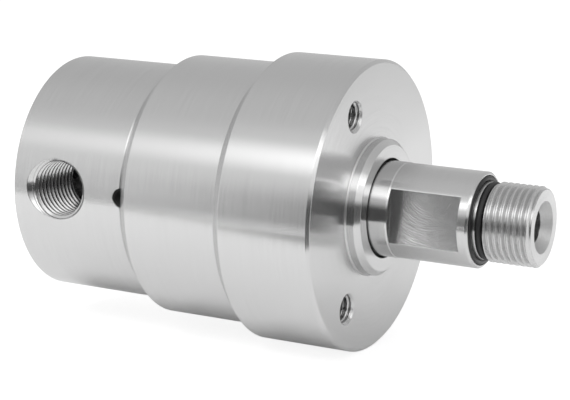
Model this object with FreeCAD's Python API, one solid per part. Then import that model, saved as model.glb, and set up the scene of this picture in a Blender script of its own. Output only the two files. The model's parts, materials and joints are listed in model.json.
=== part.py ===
import FreeCAD, Part
import math
import os

# Hydraulic rotary union with one passage, in millimetres.
# X runs along the rotor towards its threaded nose, and X = 0 is the front face of the flange.
# The supply port looks along -Y and +Z is up. Lengths run back from the flange unless they say otherwise.

# Housing, outside
flange_diameter = 62.0
flange_thickness = 23.0
middle_diameter = 57.0
middle_length = 23.8
barrel_diameter = 52.0
barrel_length = 27.3
front_edge_chamfer = 0.6
step_chamfer = 2.4
joint_edge_chamfer = 0.45
rear_edge_chamfer = 0.1

# Locating boss round the rotor, in front of the flange
boss_diameter = 29.0
boss_height = 3.0
boss_chamfer = 1.1
boss_clearance = 0.5

# Cuts start this far outside the face that they open on
overrun = 1.0

# Tapped holes in the flange, M6
bolt_circle = 46.5
bolt_count = 3
bolt_thread_diameter = 6.0
bolt_drill_diameter = 5.0
bolt_thread_depth = 12.0
bolt_drill_depth = 15.0
drill_tip_angle = 118.0
bolt_countersink_diameter = 6.8

# Supply port, G 1/4, and the weep hole at the joint, half of which the middle covers
port_distance = 63.35
port_thread_diameter = 13.157
port_drill_diameter = 11.8
port_thread_depth = 15.0
port_countersink_diameter = 14.9
chamber_overrun = 0.6
chamber_corner = 0.8
weep_distance = 46.8
weep_diameter = 4.2

# Rotor, outside the housing
shaft_diameter = 20.0
journal_step = 0.12
shaft_step_distance = 6.9
nose_step = 0.1
flats_width = 16.5
flats_start = 7.2
flats_end = 22.65
collar_end = 24.9
collar_chamfer = 0.4
nose_recess_diameter = 18.7
nose_recess_depth = 0.95
nose_ring_clearance = 0.1
nose_hub_diameter = 16.1
nose_hub_end = 25.75
nose_undercut_diameter = 13.9
nose_thread_start = 27.0
nose_thread_diameter = 16.662
nose_thread_chamfer = 0.55
nose_end = 37.5
nose_cone_mouth = 10.84
rotor_bore = 7.0

# Rotor, inside the housing
shoulder_height = 2.4
shoulder_thickness = 2.6
tail_relief = 0.2
tail_length = 6.0
tail_chamfer = 0.5

# Ball bearings, 20 x 37 x 9
bearing_distance = 9.0
bearing_outside = 37.0
bearing_width = 9.0
bearing_spacing = 10.0
ring_chamfer = 0.4
ball_diameter = 5.5
ball_count = 11
ball_clearance = 0.05
race_land = 1.85
cage_thickness = 2.4
cage_width = 7.0
cage_clearance = 0.15

# Retaining ring on the shaft behind the bearings
retaining_thickness = 1.2
retaining_height = 2.3
retaining_groove_depth = 0.5
retaining_gap_angle = 60.0
retaining_lug_diameter = 3.4
retaining_lug_hole = 1.4
retaining_lug_inset = 0.7
retaining_lug_setback = 1.4
retaining_side_clearance = 0.1

# Shaft seal behind the boss
seal_distance = 0.5
seal_section = 5.0
seal_width = 5.0
seal_wall = 0.8
seal_lip_clearance = 0.05
lip_length = 4.4
dust_lip_width = 0.6
dust_lip_lift = 0.2
dust_lip_bevel = 0.4
lip_relief_distance = 2.4
lip_relief_depth = 0.55
lip_edge_distance = 3.5
lip_back_bevel = 0.5
lip_root_distance = 1.5
lip_neck_distance = 2.2
garter_wire = 1.2
garter_distance = 3.3
garter_seat_depth = 0.4
seal_room_margin = 1.0
seal_room_clearance = 0.2

# Threaded spigot that joins the barrel to the middle
spigot_diameter = 40.0
spigot_chamfer = 0.8
spigot_relief = 0.4
joint_groove_distance = 2.8
joint_groove_width = 1.8
joint_ring_section = 1.2

# Face seal: ring in the rotor's tail, floating ring in the barrel
seat_diameter = 16.0
seat_depth = 3.0
seat_ring_proud = 2.5
seat_ring_bore = 8.0
seat_o_ring_section = 1.5
seal_face_gap = 0.05
seal_face_diameter = 14.0
seal_nose_length = 2.0
floating_flange_rim = 0.7
floating_flange_thickness = 2.5
floating_sleeve_diameter = 12.6
floating_sleeve_length = 7.5
sleeve_clearance = 0.04
seal_travel = 0.7
leak_room_gap = 1.4
leak_room_margin = 0.3
sleeve_groove_offset = 1.6
sleeve_ring_section = 1.4
sleeve_backup_width = 0.9

# Spring behind the floating ring, and the pins that keep the ring from turning
spring_wire_width = 1.2
spring_wire_height = 0.8
spring_turns = 3.5
spring_pocket_depth = 4.0
spring_pocket_clearance = 0.3
spring_pocket_wall = 1.2
pin_diameter = 3.0
pin_wall = 0.8
pin_count = 2
pin_depth = 6.0
pin_clearance = 0.3
pin_proud = 0.6

# Places along the rotor
origin = FreeCAD.Vector(0, 0, 0)
along = FreeCAD.Vector(1, 0, 0)
port_way = FreeCAD.Vector(0, -1, 0)
flange_back = -flange_thickness
joint = flange_back - middle_length
rear = joint - barrel_length
joint_groove_rear = joint + joint_groove_distance
seal_front = -seal_distance
seal_back = seal_front - seal_width
bearing_front = -bearing_distance
bearing_centres = [
    bearing_front - bearing_width / 2,
    bearing_front - bearing_width - bearing_spacing - bearing_width / 2,
]
bearing_back = bearing_centres[1] - bearing_width / 2
groove_back = bearing_back - retaining_thickness - retaining_side_clearance
tail_end = bearing_back - tail_length
seat_floor = tail_end + seat_depth
seal_face = tail_end - seat_ring_proud
floating_front = seal_face - seal_face_gap
flange_front = floating_front - seal_nose_length
floating_back = flange_front - floating_flange_thickness
leak_floor = floating_back - seal_travel - leak_room_margin
sleeve_end = floating_back - floating_sleeve_length
spring_floor = leak_floor - spring_pocket_depth
port_place = -port_distance
chamber_end = port_place - port_drill_diameter / 2 - chamber_overrun

# Radii that fit each other
shaft_radius = shaft_diameter / 2
journal_radius = shaft_radius + journal_step
nose_radius = journal_radius - nose_step
boss_bore_radius = journal_radius + boss_clearance
shoulder_radius = shaft_radius + shoulder_height
retaining_radius = shaft_radius - retaining_groove_depth
seal_radius = shaft_radius + seal_section
bearing_radius = bearing_outside / 2
spigot_radius = spigot_diameter / 2
ball_radius = ball_diameter / 2
pitch_radius = (shaft_radius + bearing_radius) / 2
sleeve_radius = floating_sleeve_diameter / 2
sleeve_bore_radius = sleeve_radius + sleeve_clearance
sleeve_ring_radius = sleeve_radius + sleeve_ring_section
pocket_inner_radius = sleeve_ring_radius + spring_pocket_wall
spring_radius = pocket_inner_radius + spring_pocket_clearance + spring_wire_width / 2
pocket_outer_radius = 2 * spring_radius - pocket_inner_radius
pin_circle_radius = pocket_outer_radius + pin_wall + pin_diameter / 2
floating_radius = pin_circle_radius + pin_diameter / 2 + pin_clearance + floating_flange_rim
leak_radius = floating_radius + leak_room_gap


def turned(points):
    """Solid turned about the X axis from a closed outline of (x, radius) points."""
    corners = [FreeCAD.Vector(x, radius, 0) for x, radius in points]
    outline = Part.Face(Part.makePolygon(corners + corners[:1]))
    solid = Part.Solid(outline.revolve(origin, along, 360))
    if solid.Volume < 0:
        solid.reverse()
    return solid


def sleeve(inner, outer, back, front, chamfer=0.0):
    """Plain ring about the X axis with its outer edges chamfered."""
    return turned([
        (back, inner), (back, outer - chamfer), (back + chamfer, outer),
        (front - chamfer, outer), (front, outer - chamfer), (front, inner),
    ])


def on_circle(radius, angle, x):
    """Point at a radius about the X axis, with the angle counted from the port's direction to +Z."""
    turn = math.radians(angle)
    return FreeCAD.Vector(x, -radius * math.cos(turn), radius * math.sin(turn))


def drilled(centre, way, diameter, depth):
    """Blind hole from a face: a cylinder with a drill's tip, starting just proud of the face."""
    radius = diameter / 2
    tip = radius / math.tan(math.radians(drill_tip_angle / 2))
    shank = Part.makeCylinder(radius, depth + overrun, centre - way * overrun, way)
    return shank.fuse(Part.makeCone(radius, 0, tip, centre + way * depth, way))


def countersink(centre, way, diameter):
    """Cone with a 90 degree included angle, widest at the face, with its rim just proud of it."""
    radius = diameter / 2 + overrun
    return Part.makeCone(radius, 0, radius, centre - way * overrun, way)


def port_housing():
    """Rear barrel with the radial supply port, the weep hole and the face seal's chamber."""
    outer = barrel_diameter / 2
    groove = spigot_radius - joint_ring_section
    groove_front = leak_floor - sleeve_groove_offset
    groove_rear = groove_front - sleeve_ring_section - sleeve_backup_width
    body = turned([
        (rear, 0), (rear, outer - rear_edge_chamfer), (rear + rear_edge_chamfer, outer),
        (joint - joint_edge_chamfer, outer), (joint, outer - joint_edge_chamfer),
        (joint, spigot_radius), (joint_groove_rear, spigot_radius), (joint_groove_rear, groove),
        (joint_groove_rear + joint_groove_width, groove),
        (joint_groove_rear + joint_groove_width, spigot_radius),
        (bearing_back - spigot_chamfer, spigot_radius),
        (bearing_back, spigot_radius - spigot_chamfer), (bearing_back, leak_radius),
        (leak_floor, leak_radius), (leak_floor, pocket_outer_radius),
        (spring_floor, pocket_outer_radius), (spring_floor, pocket_inner_radius),
        (leak_floor, pocket_inner_radius), (leak_floor, sleeve_bore_radius),
        (groove_front, sleeve_bore_radius), (groove_front, sleeve_ring_radius),
        (groove_rear, sleeve_ring_radius), (groove_rear, sleeve_bore_radius),
        (chamber_end + chamber_corner, sleeve_bore_radius),
        (chamber_end, sleeve_bore_radius - chamber_corner), (chamber_end, 0),
    ])
    inward = port_way * -1
    mouth = FreeCAD.Vector(port_place, 0, 0) + port_way * outer
    start = mouth + port_way * overrun
    body = body.cut(countersink(mouth, inward, port_countersink_diameter))
    length = port_thread_depth + overrun
    body = body.cut(Part.makeCylinder(port_thread_diameter / 2, length, start, inward))
    body = body.cut(Part.makeCylinder(port_drill_diameter / 2, outer, mouth, inward))
    weep = FreeCAD.Vector(-weep_distance, 0, 0) + port_way * (outer + overrun)
    body = body.cut(Part.makeCylinder(weep_diameter / 2, outer + overrun - leak_radius / 2, weep, inward))
    for pin in anti_rotation_pin_cylinders():
        body = body.cut(pin)
    return body


def front_housing():
    """Flange and middle in one piece: boss, shaft seal seat, bearing bore and threaded rear bore."""
    flange = flange_diameter / 2
    middle = middle_diameter / 2
    boss = boss_diameter / 2
    bore = boss_bore_radius
    room = seal_radius + seal_room_margin
    room_front = seal_back - seal_room_clearance
    step = bearing_back + spigot_relief
    body = turned([
        (boss_height, bore), (boss_height, boss - boss_chamfer), (boss_height - boss_chamfer, boss),
        (0, boss), (0, flange - front_edge_chamfer), (-front_edge_chamfer, flange),
        (flange_back + step_chamfer, flange), (flange_back, flange - step_chamfer),
        (flange_back, middle), (joint + step_chamfer, middle),
        (joint, middle - step_chamfer), (joint, spigot_radius),
        (step, spigot_radius), (step, bearing_radius), (bearing_front, bearing_radius),
        (bearing_front, room), (room_front, room), (room_front, seal_radius),
        (seal_front, seal_radius), (seal_front, bore),
    ])
    inward = along * -1
    for number in range(bolt_count):
        centre = on_circle(bolt_circle / 2, (number + 0.5) * 360 / bolt_count, 0)
        start = centre + along * overrun
        length = bolt_thread_depth + overrun
        body = body.cut(drilled(centre, inward, bolt_drill_diameter, bolt_drill_depth))
        body = body.cut(Part.makeCylinder(bolt_thread_diameter / 2, length, start, inward))
        body = body.cut(countersink(centre, inward, bolt_countersink_diameter))
    return body


def rotor_shaft():
    """Hollow shaft: threaded nose, wrench flats, seal journal, shoulder, bearing seats and seal seat."""
    tail = shaft_radius - tail_relief
    thread = nose_thread_diameter / 2
    undercut = nose_undercut_diameter / 2
    recess = nose_recess_diameter / 2
    hub = nose_hub_diameter / 2
    bore = rotor_bore / 2
    mouth = nose_cone_mouth / 2
    shoulder_front = bearing_front + shoulder_thickness
    body = turned([
        (seat_floor, bore), (seat_floor, seat_diameter / 2), (tail_end, seat_diameter / 2),
        (tail_end, tail - tail_chamfer), (tail_end + tail_chamfer, tail), (groove_back, tail),
        (groove_back, retaining_radius), (bearing_back, retaining_radius),
        (bearing_back, shaft_radius), (bearing_front, shaft_radius),
        (bearing_front, shoulder_radius), (shoulder_front, shoulder_radius),
        (shoulder_front, journal_radius), (shaft_step_distance, journal_radius),
        (shaft_step_distance + nose_step, nose_radius), (collar_end - collar_chamfer, nose_radius),
        (collar_end, nose_radius - collar_chamfer), (collar_end, recess),
        (collar_end - nose_recess_depth, recess), (collar_end - nose_recess_depth, hub),
        (nose_hub_end, hub), (nose_hub_end, undercut), (nose_thread_start, undercut),
        (nose_thread_start + nose_thread_chamfer, thread),
        (nose_end - nose_thread_chamfer, thread), (nose_end, thread - nose_thread_chamfer),
        (nose_end, mouth), (nose_end - (mouth - bore), bore),
    ])
    for side in (-1, 1):
        lower = flats_width / 2 if side > 0 else -flats_width / 2 - shaft_diameter
        corner = FreeCAD.Vector(flats_start, lower, -shaft_diameter)
        body = body.cut(Part.makeBox(flats_end - flats_start, shaft_diameter, 2 * shaft_diameter, corner))
    return body


def race(centre):
    """Torus that the balls of one bearing roll in, with its running clearance."""
    return Part.makeTorus(pitch_radius, ball_radius + ball_clearance, FreeCAD.Vector(centre, 0, 0), along)


def outer_ring(centre):
    """Outer ring of one ball bearing."""
    half = bearing_width / 2
    ring = sleeve(pitch_radius + race_land, bearing_radius, centre - half, centre + half, ring_chamfer)
    return ring.cut(race(centre))


def inner_ring(centre):
    """Inner ring of one ball bearing."""
    half = bearing_width / 2
    ring = sleeve(shaft_radius, pitch_radius - race_land, centre - half, centre + half, ring_chamfer)
    return ring.cut(race(centre))


def ball_centres(centre):
    """Places of one bearing's balls, evenly spaced on the pitch circle."""
    return [on_circle(pitch_radius, number * 360 / ball_count, centre) for number in range(ball_count)]


def balls(centre):
    """The balls of one bearing."""
    return Part.makeCompound([Part.makeSphere(ball_radius, place) for place in ball_centres(centre)])


def cage(centre):
    """Cage ring with one drilled pocket for each ball."""
    half = cage_thickness / 2
    ring = sleeve(pitch_radius - half, pitch_radius + half, centre - cage_width / 2, centre + cage_width / 2)
    middle = FreeCAD.Vector(centre, 0, 0)
    for place in ball_centres(centre):
        outward = place - middle
        ring = ring.cut(Part.makeCylinder(ball_radius + cage_clearance, bearing_radius, middle, outward))
    return ring


def outer_spacer():
    """Sleeve between the two outer rings."""
    front = bearing_front - bearing_width
    return sleeve(pitch_radius + race_land, bearing_radius, front - bearing_spacing, front)


def inner_spacer():
    """Sleeve between the two inner rings, on the shaft."""
    front = bearing_front - bearing_width
    return sleeve(shaft_radius, pitch_radius - race_land, front - bearing_spacing, front)


def shaft_retaining_ring():
    """Open ring in the shaft's groove, with a lug each side of its gap."""
    inner = retaining_radius
    outer = inner + retaining_height
    back = bearing_back - retaining_thickness
    ring = sleeve(inner, outer, back, bearing_back)
    centre = FreeCAD.Vector(back, 0, 0)
    edges = [on_circle(2 * outer, 90 + side * retaining_gap_angle / 2, back) for side in (-1, 1)]
    wedge = Part.Face(Part.makePolygon([centre] + edges + [centre]))
    ring = ring.cut(wedge.extrude(along * retaining_thickness))
    bore = Part.makeCylinder(inner, retaining_thickness, FreeCAD.Vector(back, 0, 0), along)
    for side in (-1, 1):
        lug_angle = 90 + side * (retaining_gap_angle / 2 + math.degrees(retaining_lug_setback / outer))
        place = on_circle(outer - retaining_lug_inset, lug_angle, back)
        lug = Part.makeCylinder(retaining_lug_diameter / 2, retaining_thickness, place, along)
        hole = Part.makeCylinder(retaining_lug_hole / 2, retaining_thickness, place, along)
        ring = ring.fuse(lug.cut(bore)).cut(hole)
    return ring.removeSplitter()


def shaft_seal_case():
    """Steel case of the shaft seal: a cup that is open towards the bearings."""
    outer = seal_radius
    mid = (outer + shaft_radius) / 2
    return turned([
        (seal_back, outer), (seal_front, outer), (seal_front, mid), (seal_front - seal_wall, mid),
        (seal_front - seal_wall, outer - seal_wall), (seal_back, outer - seal_wall),
    ])


def shaft_seal_lip():
    """Rubber lip on the case's web, bearing on the shaft, with a seat for the garter spring."""
    mid = (seal_radius + shaft_radius) / 2
    lip = journal_radius + seal_lip_clearance
    seat = mid - garter_wire - garter_seat_depth
    lip_back = seal_front - lip_length
    return turned([
        (seal_front, mid), (seal_front, lip + dust_lip_lift + dust_lip_bevel),
        (seal_front - dust_lip_width, lip + dust_lip_lift),
        (seal_front - lip_relief_distance, lip + lip_relief_depth), (seal_front - lip_edge_distance, lip),
        (lip_back, lip + lip_back_bevel), (lip_back, seat),
        (seal_front - lip_neck_distance, seat), (seal_front - lip_root_distance, mid),
    ])


def seal_garter_spring():
    """Garter spring round the back of the lip."""
    mid = (seal_radius + shaft_radius) / 2
    place = FreeCAD.Vector(seal_front - garter_distance, 0, 0)
    return Part.makeTorus(mid - garter_seat_depth - garter_wire / 2, garter_wire / 2, place, along)


def o_ring(inner, outer, x):
    """O-ring that fills the space between two radii."""
    return Part.makeTorus((inner + outer) / 2, (outer - inner) / 2, FreeCAD.Vector(x, 0, 0), along)


def nose_o_ring():
    """Face O-ring in the recess round the hub behind the nose thread."""
    inner = nose_hub_diameter / 2
    section = nose_recess_diameter / 2 - inner - nose_ring_clearance
    return o_ring(inner, inner + section, collar_end - nose_recess_depth + section / 2)


def housing_o_ring():
    """O-ring in the groove of the barrel's spigot."""
    inner = spigot_radius - joint_ring_section
    return o_ring(inner, spigot_radius, joint_groove_rear + joint_groove_width / 2)


def sleeve_o_ring():
    """O-ring in the barrel that the floating ring's sleeve slides in."""
    half = (sleeve_ring_radius - sleeve_bore_radius) / 2
    return o_ring(sleeve_bore_radius, sleeve_ring_radius, leak_floor - sleeve_groove_offset - half)


def sleeve_backup_ring():
    """Flat ring behind the O-ring, on the side away from the pressure."""
    back = leak_floor - sleeve_groove_offset - sleeve_ring_section - sleeve_backup_width
    return sleeve(sleeve_bore_radius, sleeve_ring_radius, back, back + sleeve_backup_width)


def rotating_seal_ring():
    """Hard ring seated in the rotor's tail, with a step at its back for an O-ring."""
    bore = seat_ring_bore / 2
    outer = seat_diameter / 2
    return turned([
        (seal_face, bore), (seal_face, outer), (seat_floor - seat_o_ring_section, outer),
        (seat_floor - seat_o_ring_section, outer - seat_o_ring_section),
        (seat_floor, outer - seat_o_ring_section), (seat_floor, bore),
    ])


def seat_o_ring():
    """O-ring behind the rotating seal ring."""
    outer = seat_diameter / 2
    return o_ring(outer - seat_o_ring_section, outer, seat_floor - seat_o_ring_section / 2)


def floating_seal_ring():
    """Ring that the spring holds against the rotating ring: nose, pinned flange and sleeve."""
    bore = seat_ring_bore / 2
    face = seal_face_diameter / 2
    hole = pin_diameter / 2 + pin_clearance
    ring = turned([
        (sleeve_end, bore), (sleeve_end, sleeve_radius), (floating_back, sleeve_radius),
        (floating_back, floating_radius), (flange_front, floating_radius),
        (flange_front, face), (floating_front, face), (floating_front, bore),
    ])
    for place in pin_places(floating_back):
        ring = ring.cut(Part.makeCylinder(hole, floating_flange_thickness, place, along))
    return ring


def seal_spring():
    """Flat-wire coil spring between its pocket in the barrel and the floating ring's flange."""
    wide = spring_wire_width / 2
    high = spring_wire_height / 2
    height = floating_back - spring_floor - spring_wire_height
    helix = Part.makeHelix(height / spring_turns, height, spring_radius)
    corners = [
        FreeCAD.Vector(spring_radius - wide, 0, -high), FreeCAD.Vector(spring_radius + wide, 0, -high),
        FreeCAD.Vector(spring_radius + wide, 0, high), FreeCAD.Vector(spring_radius - wide, 0, high),
    ]
    section = Part.makePolygon(corners + corners[:1])
    coil = Part.Wire(helix.Edges).makePipeShell([section], True, True)
    coil.rotate(origin, FreeCAD.Vector(0, 1, 0), 90)
    coil.translate(along * (spring_floor + high))
    return coil


def pin_places(x):
    """Places of the anti-rotation pins, the first straight above the passage."""
    return [on_circle(pin_circle_radius, 90 + number * 360 / pin_count, x) for number in range(pin_count)]


def anti_rotation_pin_cylinders():
    """Pins pressed into the barrel's floor that reach through the floating ring's flange."""
    back = leak_floor - pin_depth
    length = flange_front + pin_proud - back
    return [Part.makeCylinder(pin_diameter / 2, length, place, along) for place in pin_places(back)]


def anti_rotation_pins():
    """Both pins as one group."""
    return Part.makeCompound(anti_rotation_pin_cylinders())


nodes = {
    "front_housing": front_housing(),
    "port_housing": port_housing(),
    "rotor_shaft": rotor_shaft(),
    "outer_spacer": outer_spacer(),
    "inner_spacer": inner_spacer(),
    "shaft_retaining_ring": shaft_retaining_ring(),
    "shaft_seal_case": shaft_seal_case(),
    "shaft_seal_lip": shaft_seal_lip(),
    "seal_garter_spring": seal_garter_spring(),
    "nose_o_ring": nose_o_ring(),
    "housing_o_ring": housing_o_ring(),
    "sleeve_o_ring": sleeve_o_ring(),
    "sleeve_backup_ring": sleeve_backup_ring(),
    "rotating_seal_ring": rotating_seal_ring(),
    "seat_o_ring": seat_o_ring(),
    "floating_seal_ring": floating_seal_ring(),
    "seal_spring": seal_spring(),
    "anti_rotation_pins": anti_rotation_pins(),
}
for name, centre in zip(("front", "rear"), bearing_centres):
    nodes[name + "_outer_ring"] = outer_ring(centre)
    nodes[name + "_inner_ring"] = inner_ring(centre)
    nodes[name + "_balls"] = balls(centre)
    nodes[name + "_cage"] = cage(centre)

os.makedirs("parts", exist_ok=True)
for name, shape in nodes.items():
    shape.exportStep("parts/" + name + ".step")
    print(name, "solids", len(shape.Solids), "valid", shape.isValid(), "volume", round(shape.Volume, 2))
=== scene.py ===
"""Looks of a hydraulic rotary union: turned stainless steel, cut threads, milled flats and black seals."""

import json
import math

import bpy
from bpy.props import FloatProperty, FloatVectorProperty, IntProperty, PointerProperty
from mathutils import Matrix, Vector


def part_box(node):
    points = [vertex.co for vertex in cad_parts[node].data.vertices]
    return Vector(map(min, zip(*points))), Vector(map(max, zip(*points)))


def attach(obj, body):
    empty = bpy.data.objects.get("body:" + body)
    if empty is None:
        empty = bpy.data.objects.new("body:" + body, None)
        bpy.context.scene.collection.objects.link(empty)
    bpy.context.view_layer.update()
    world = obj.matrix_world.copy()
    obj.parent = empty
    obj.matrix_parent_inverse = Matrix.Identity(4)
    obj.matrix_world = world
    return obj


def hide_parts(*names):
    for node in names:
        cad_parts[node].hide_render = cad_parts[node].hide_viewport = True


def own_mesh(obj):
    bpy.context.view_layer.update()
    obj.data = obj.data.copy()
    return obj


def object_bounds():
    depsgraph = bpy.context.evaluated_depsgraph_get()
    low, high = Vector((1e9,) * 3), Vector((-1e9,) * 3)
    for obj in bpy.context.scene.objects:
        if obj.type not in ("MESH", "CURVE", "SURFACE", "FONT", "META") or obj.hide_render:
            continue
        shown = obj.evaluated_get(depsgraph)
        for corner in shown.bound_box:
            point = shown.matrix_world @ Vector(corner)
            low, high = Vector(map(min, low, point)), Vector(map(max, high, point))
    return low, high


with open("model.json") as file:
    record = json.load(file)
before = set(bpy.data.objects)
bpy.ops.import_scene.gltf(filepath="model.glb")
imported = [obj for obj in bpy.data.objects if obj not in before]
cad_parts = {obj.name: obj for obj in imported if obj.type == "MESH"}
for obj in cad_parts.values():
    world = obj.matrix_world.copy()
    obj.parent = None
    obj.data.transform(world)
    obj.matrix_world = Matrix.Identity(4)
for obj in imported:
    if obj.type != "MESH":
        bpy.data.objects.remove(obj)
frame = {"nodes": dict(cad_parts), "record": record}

bl_info = {
    "name": "Hydraulic Rotary Union",
    "version": (1, 0, 0),
    "blender": (4, 5, 0),
    "location": "View3D > Sidebar > Union",
    "description": "Cuts the threads and flats of a rotary union and gives each piece its finish",
    "category": "Add Mesh",
}

MM = 0.001
CAD_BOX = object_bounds()
MOUNTS = {mount["name"]: mount for mount in frame["record"]["mounts"]}
SHAFT_LOW, SHAFT_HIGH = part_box("rotor_shaft")

# Depth of a 55 degree pipe thread as a share of its pitch, and the slopes of the threads' flanks in degrees.
PIPE_THREAD_DEPTH = 0.6403
PIPE_FLANK = 27.5
BOLT_FLANK = 30.0
# How far a cutter, or the foot of an added piece, runs past the surface that it meets.
OVERLAP = 0.05 * MM
# Points of a piece nearer than this are one point.
WELD_DISTANCE = 0.0005 * MM
# Edges that turn by more than this, in degrees, stay crisp in the shading.
SHARP_ANGLE = 25.0
# Radius of the fine break that catches the light along machined edges.
EDGE_BREAK = 0.25 * MM
# Centre of the end mill's arcs on the wrench flats.
STROKE_CENTRE = (15.5 * MM, 0, 6 * MM)
# A face whose normal has a greater part along an axis than this is square to that axis.
SQUARE = 0.99
# Where noise begins and ends to change a roughness, and by how much in cut and in plain finishes.
NOISE_LOW, NOISE_HIGH = 0.3, 0.7
CUT_SPREAD, PLAIN_SPREAD = 0.1, 0.15
# Where the streaks of a cut surface begin and end to change its colour.
STREAK_LOW, STREAK_HIGH = 0.35, 0.65
# Share of the grooves in the relief of a cut surface, beside its streaks.
GROOVE_SHARE = 0.25
# Levels of detail in the two kinds of noise, and how strong each level is beside the one before.
STREAK_DETAIL, GRAIN_DETAIL, DETAIL_SHARE = 3.0, 4.0, 0.6
# Part of a full turn that lays the reflections across the grooves.
QUARTER_TURN = 0.25
BEVEL_SAMPLES = 6
# Order of the shaft's materials.
TURNED, GROUND, MILLED, THREADED, REAMED = range(5)

WHITE = (1.0, 1.0, 1.0, 1.0)
# Brightness of the light tent at angles in degrees round the part's axis, from above towards the front.
TENT_LEVELS = [
    (-180, 0.9), (-92, 0.66), (-70, 0.64), (-45, 0.59), (-20, 0.6), (3, 0.66), (27, 0.69), (38, 0.74),
    (51, 0.8), (64, 0.86), (76, 0.91), (90, 0.92), (98, 0.84), (106, 0.69), (112, 0.67), (130, 0.95),
    (180, 0.95),
]
# Lamps behind its cloth: place and half length along X in metres, the same round X in degrees, brightness.
TENT_LAMPS = [(-0.095, 0.13, 53, 8, 1.15), (0.3, 0.33, 43, 13, 1.3)]
# How softly a lamp's patch of light ends along X, in metres, and round the axis, in radians.
LAMP_EDGE, LAMP_EDGE_ANGLE = 0.1, 0.25
# Corners of the table in metres. Its near edge runs along beside the housing and slants back past the rotor.
TABLE_CORNERS = [(-1.5, -0.108), (-0.06, -0.108), (1.5, 0.516), (1.5, 1.7), (-1.5, 1.7)]
# Level direction in which the flange face mirrors the table.
MIRRORED_WAY = (0.46, 0.89, 0)
# Cards that only metal sees: two corners in millimetres, the brightness at the bottom and at the top, and the
# heights in millimetres between which it changes. One is the dark room beyond the table, and the other stands
# in front of it and lights the wrench flat.
CARDS = {
    "front_opening": ((-158, -352, -400), (3000, -350, 165), (0.08, 0.9), (10, 165)),
    "front_reflector": ((-151, -346, -108), (-134, -345, -38), (4.0, 0.08), (-95, -42)),
}


def mount_size(mount, name):
    """One dimension of a mount, in metres."""
    return MOUNTS[mount]["dims"][name] * MM


def length(name, description, millimetres):
    """Length setting whose default is given in millimetres."""
    return FloatProperty(
        name=name, description=description, default=millimetres * MM, min=0.0, precision=5,
        subtype="DISTANCE", unit="LENGTH",
    )


def point(name, description, millimetres):
    """Setting for a place whose default is given in millimetres."""
    return FloatVectorProperty(
        name=name, description=description, default=[part * MM for part in millimetres], precision=5,
        subtype="TRANSLATION", unit="LENGTH",
    )


def angle(name, description, degrees):
    """Angle setting whose default is given in degrees."""
    return FloatProperty(
        name=name, description=description, default=math.radians(degrees), subtype="ANGLE", unit="ROTATION"
    )


def brightness(name, description, level):
    """Brightness setting, where 1 is white."""
    return FloatProperty(name=name, description=description, default=level, min=0.0)


def flat_steps(name, description, number, fewest):
    """Setting for the number of flat steps that make a round shape."""
    return IntProperty(name=name, description=description, default=number, min=fewest)


def linear(code):
    """Linear colour with alpha from an sRGB hex code."""
    shares = [int(code[start:start + 2], 16) / 255 for start in (1, 3, 5)]
    curved = [share / 12.92 if share <= 0.04045 else ((share + 0.055) / 1.055) ** 2.4 for share in shares]
    return (*curved, 1.0)


def colour(name, description, code):
    """Colour setting whose default is given as an sRGB hex code."""
    return FloatVectorProperty(
        name=name, description=description, default=linear(code), size=4, min=0.0, max=1.0, subtype="COLOR"
    )


class UnionShaftSizes(bpy.types.PropertyGroup):
    """Sizes of the turned and milled rotor shaft."""

    sides: flat_steps("Sides", "Flat steps round the shaft", 160, 24)
    shaft_diameter: length("Shaft", "Diameter of the bearing seats", 20.0)
    journal_step: length("Journal step", "How high the seal journal stands above the bearing seats", 0.12)
    step_distance: length("Step distance", "From the flange face to the fine step", 6.9)
    nose_step: length("Step height", "How much thinner the shaft is past the fine step", 0.1)
    flats_width: length("Flats width", "Distance across the two wrench flats", 16.5)
    flats_start: length("Flats start", "From the flange face to the start of the flats", 7.2)
    flats_end: length("Flats end", "From the flange face to the end of the flats", 22.65)
    collar_end: length("Collar end", "From the flange face to the end of the collar", 24.9)
    collar_chamfer: length("Collar chamfer", "Chamfer round the collar", 0.4)
    recess_diameter: length("Recess", "Diameter of the recess that the face ring sits in", 18.7)
    recess_depth: length("Recess depth", "Depth of that recess", 0.95)
    hub_diameter: length("Hub", "Diameter of the hub inside the face ring", 16.1)
    hub_end: length("Hub end", "From the flange face to the end of the hub", 25.75)
    undercut_diameter: length("Undercut", "Diameter of the neck behind the thread", 13.9)
    neck_ring_diameter: length("Neck ring", "Outer diameter of the rubber ring round that neck", 16.2)
    neck_ring_sides: flat_steps("Neck ring sides", "Flat steps round the section of that ring", 24, 8)
    thread_start: length("Thread start", "From the flange face to the first thread", 27.0)
    thread_chamfer: length("Thread chamfer", "Chamfer at both ends of the thread", 0.55)
    cone_mouth: length("Cone mouth", "Diameter of the sealing cone's mouth", 10.84)
    shoulder_thickness: length("Shoulder", "Thickness of the shoulder in front of the bearings", 2.6)
    tail_relief: length("Tail relief", "How much thinner in radius the tail is than the shaft", 0.2)
    tail_chamfer: length("Tail chamfer", "Chamfer at the end of the tail", 0.5)
    groove_depth: length("Groove depth", "Depth of the retaining ring's groove", 0.5)
    groove_clearance: length("Groove clearance", "Room beside the retaining ring in its groove", 0.1)


class UnionHousingSizes(bpy.types.PropertyGroup):
    """Sizes of what is added to the housing."""

    boss_fillet: length("Boss fillet", "Radius of the fillet round the root of the boss", 0.3)
    fillet_steps: flat_steps("Fillet steps", "Flat steps across the fillet", 6, 2)


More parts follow.
